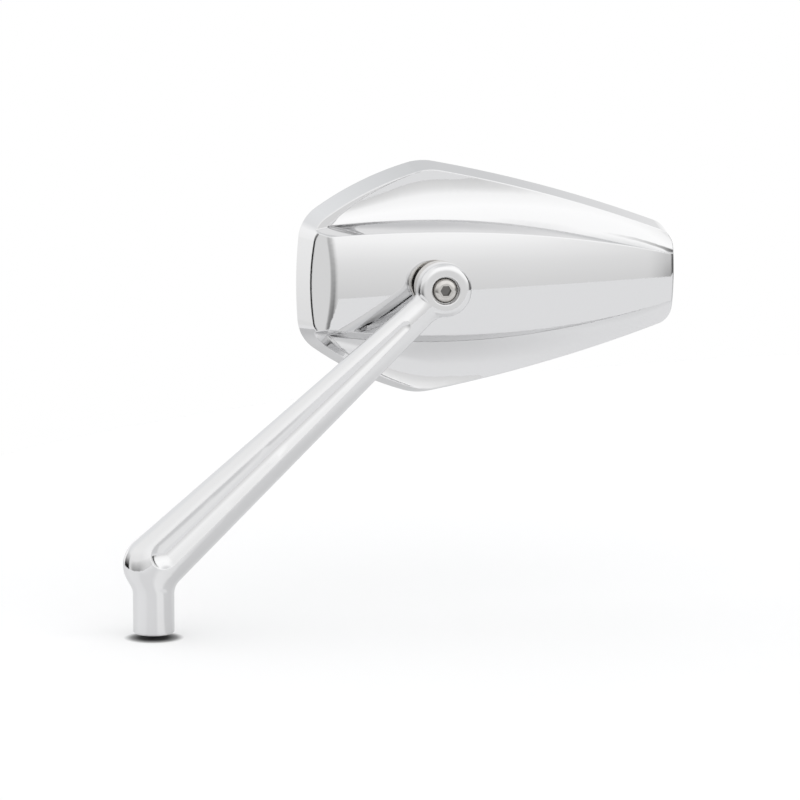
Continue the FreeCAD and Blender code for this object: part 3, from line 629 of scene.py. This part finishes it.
@dataclass
class Studio:
    """Pale floor, soft surround and the camera; angles in degrees, 0 in front (-Y) and 90 to the right."""

    azimuth: float = -8.5
    elevation: float = 8.5
    distance: float = 1.8
    lens: float = 200.0
    sensor_width: float = 36.0
    sight: float = 50.0
    aim: Point = (0.1003, -0.0044, 0.0938)
    floor_centre: Point = (0.60, 0.0, -0.0021)
    floor_radius: float = 0.79
    floor_sides: int = 128
    floor_tint: Colour = (1.0, 1.0, 1.005)
    floor_turns: Levels = (
        (-180, 0.84), (-120, 0.90), (-90, 0.95), (-50, 0.93), (-35, 0.86), (5, 0.86), (18, 1.0),
        (44, 1.0), (56, 0.80), (100, 0.80), (115, 0.84), (180, 0.84))
    floor_front: float = 0.93
    floor_rear: float = 0.64
    floor_fall: Span = (0.05, 0.25)
    near_foot: Span = (0.14, 0.26)
    shadow_reach: float = 0.02
    # Painted shadow round the foot: floor grey by distance from the origin under the foot.
    foot_shadow: Levels = ((0.006, 0.1), (0.0095, 0.35), (0.0125, 1.0))
    horizon: Levels = (
        (-180, 1.0), (-150, 1.0), (-140, 0.9), (-133, 0.9), (-130, 0.02), (-92, 0.02), (-89, 0.86),
        (-82, 0.86), (-68, 0.28), (-38, 0.25), (-20, 0.68), (-8, 0.8), (30, 0.8), (56, 0.76),
        (59, 0.5), (62, 0.1), (146, 0.05), (156, 1.0), (180, 1.0))
    flag_lift: Levels = (
        (-180, 0), (-133, 0), (-130, 11), (-92, 11), (-89, 0), (74, 0), (86, 45), (95, 45), (107, 0),
        (180, 0))
    flag_fade: Span = (-13.0, 12.0)
    front_sky: Sky = (
        (0.0, grey(1.04)), (14.0, grey(1.20)), (35.0, grey(1.30)), (60.0, grey(1.26)),
        (75.0, (0.95, 0.95, 0.96)), (90.0, (0.85, 0.86, 0.87)))
    back_sky: Sky = (
        (0.0, grey(1.0)), (12.0, (0.92, 0.92, 0.925)), (20.0, (0.75, 0.755, 0.765)),
        (35.0, (0.77, 0.78, 0.79)), (60.0, (0.77, 0.78, 0.79)), (90.0, (0.80, 0.80, 0.82)))
    back_turn: Span = (0.0, 0.6)
    left_front: float = 0.83
    left_front_turn: Span = (-0.6, -0.2)
    left_back: float = 1.25
    left_back_turn: Span = (-0.3, 0.0)
    under_colour: Colour = (0.95, 0.95, 0.96)
    under_rise: Span = (-17.0, -16.0)
    backdrop_turn: Span = (0.86, 0.94)
    backdrop_rise: Span = (0.0, 15.0)

    def camera(self) -> None:
        """Sets the camera at the viewing angle."""
        turn, rise = radians((self.azimuth, self.elevation))
        back = Vector((
            math.sin(turn) * math.cos(rise), -math.cos(turn) * math.cos(rise), math.sin(rise)))
        lens = bpy.data.cameras.new("camera")
        lens.lens = self.lens
        lens.sensor_width = self.sensor_width
        lens.clip_end = self.sight
        eye = bpy.data.objects.new("camera", lens)
        eye.location = Vector(self.aim) + back * self.distance
        eye.rotation_euler = back.to_track_quat("Z", "Y").to_euler()
        bpy.context.scene.collection.objects.link(eye)
        bpy.context.scene.camera = eye

    def tinted(self, level: float) -> Colour:
        """Colour of the floor at a level of grey."""
        return tuple(min(1.0, level * tint) for tint in self.floor_tint)

    def floor(self) -> None:
        """Lays the round floor."""
        x, y, z = self.floor_centre
        turns = [math.tau * index / self.floor_sides for index in range(self.floor_sides)]
        ring = [(x + self.floor_radius * math.cos(turn), y + self.floor_radius * math.sin(turn), z)
                for turn in turns]
        mesh = bpy.data.meshes.new("floor")
        mesh.from_pydata(ring, [], [tuple(range(self.floor_sides))])
        mesh.materials.append(self.floor_material())
        plane = bpy.data.objects.new("floor", mesh)
        bpy.context.scene.collection.objects.link(plane)

    def floor_material(self) -> bpy.types.Material:
        """White floor to the camera with a painted shadow round the foot over its real shadow, and a pale one of
        uneven grey to other rays.

        Returns:
            The floor's material.
        """
        made = bpy.data.materials.new("floor")
        made.use_nodes = True
        graph = NodeGraph(made.node_tree)
        place = graph.add("TexCoord").outputs["Object"]
        parts = graph.add("SeparateXYZ", {"Vector": place})
        reach = graph.length(place)
        near = graph.ramp(graph.heading(parts), [
            (turn_share(degrees), self.tinted(level)) for degrees, level in self.floor_turns])
        far = graph.ramp(graph.spread(parts.outputs["Y"], self.floor_fall), [
            (0.0, self.tinted(self.floor_front)), (1.0, self.tinted(self.floor_rear))])
        lit = graph.mix(graph.spread(reach, self.near_foot, eased=True), near, far)
        plain = graph.add("BsdfDiffuse", {"Color": lit})
        # Painted shadow: a dark ring round the foot, seen by camera rays only, deepening the real contact shadow.
        shaded = graph.ramp(graph.spread(reach, (0.0, self.shadow_reach)), [
            (gap / self.shadow_reach, grey(level)) for gap, level in self.foot_shadow])
        seen = graph.add("BsdfDiffuse", {"Color": shaded})
        path = graph.add("LightPath")
        shown = graph.add("MixShader", {
            0: path.outputs["Is Camera Ray"], 1: plain.outputs["BSDF"], 2: seen.outputs["BSDF"]})
        graph.add("OutputMaterial", {"Surface": shown.outputs["Shader"]})
        return made

    def surround(self) -> None:
        """Builds the soft light all round: white backdrop, dark flags beside it, tall white light in front."""
        world = bpy.data.worlds.new("studio")
        bpy.context.scene.world = world
        world.use_nodes = True
        graph = NodeGraph(world.node_tree)
        toward = graph.add("TexCoord").outputs["Generated"]
        parts = graph.add("SeparateXYZ", {"Vector": toward})
        rise = graph.maths("ARCSINE", parts.outputs["Z"])
        heading = graph.heading(parts)
        band = graph.ramp(heading, [(turn_share(degrees), grey(level)) for degrees, level in self.horizon])
        lift = graph.ramp(heading, [
            (turn_share(degrees), grey(math.radians(up))) for degrees, up in self.flag_lift])
        climb = graph.spread(graph.maths("SUBTRACT", rise, lift), radians(self.flag_fade))
        upper = graph.mix(climb, band, self.sky(graph, parts, rise))
        sink = graph.spread(rise, radians(self.under_rise), (1.0, 0.0))
        tone = graph.mix(sink, upper, (*self.under_colour, 1.0))
        shown = graph.mix(self.white_share(graph, parts, rise), tone, (*grey(1.0), 1.0))
        light = graph.add("Background", {"Color": shown, "Strength": 1.0})
        graph.add("OutputWorld", {"Surface": light.outputs["Background"]})

    def sky(self, graph: NodeGraph, parts: bpy.types.Node,
            rise: bpy.types.NodeSocket) -> bpy.types.NodeSocket:
        """Light from above the horizon, in front and behind.

        Args:
            graph: The world's nodes.
            parts: Node that separates the direction into X, Y and Z.
            rise: Socket with the direction's angle above the horizon.

        Returns:
            The light's colour.
        """
        height = graph.spread(rise, (0.0, math.pi / 2))
        front = graph.ramp(height, [(up / 90, colour) for up, colour in self.front_sky])
        behind = graph.ramp(height, [(up / 90, colour) for up, colour in self.back_sky])
        across = parts.outputs["X"]
        front = graph.scaled(front, graph.spread(across, self.left_front_turn, (self.left_front, 1.0)))
        behind = graph.scaled(behind, graph.spread(across, self.left_back_turn, (self.left_back, 1.0)))
        return graph.mix(graph.spread(parts.outputs["Y"], self.back_turn, eased=True), front, behind)

    def white_share(self, graph: NodeGraph, parts: bpy.types.Node,
                    rise: bpy.types.NodeSocket) -> bpy.types.NodeSocket:
        """Where the surround is plain white: to the camera, and to mirrored rays that meet the backdrop.

        Args:
            graph: The world's nodes.
            parts: Node that separates the direction into X, Y and Z.
            rise: Socket with the direction's angle above the horizon.

        Returns:
            The share of white.
        """
        path = graph.add("LightPath")
        backdrop = graph.spread(parts.outputs["Y"], self.backdrop_turn)
        low = graph.spread(rise, radians(self.backdrop_rise), (1.0, 0.0))
        mirrored = graph.maths("MAXIMUM", path.outputs["Is Glossy Ray"], path.outputs["Is Transmission Ray"])
        meets = graph.maths("MULTIPLY", mirrored, graph.maths("MULTIPLY", backdrop, low))
        return graph.maths("MAXIMUM", path.outputs["Is Camera Ray"], meets)

    def build(self) -> None:
        """Builds the studio and leaves plain view settings."""
        self.camera()
        self.floor()
        self.surround()
        bpy.context.scene.view_settings.view_transform = "Standard"


def main() -> None:
    """Builds each sub-assembly in turn and reports it."""
    logging.basicConfig(level=logging.INFO, format="%(name)s: %(message)s")
    for part in (Stem(), Head(), Studio()):
        part.build()
        LOG.info("built %s", type(part).__name__)


if __name__ == "__main__":
    main()
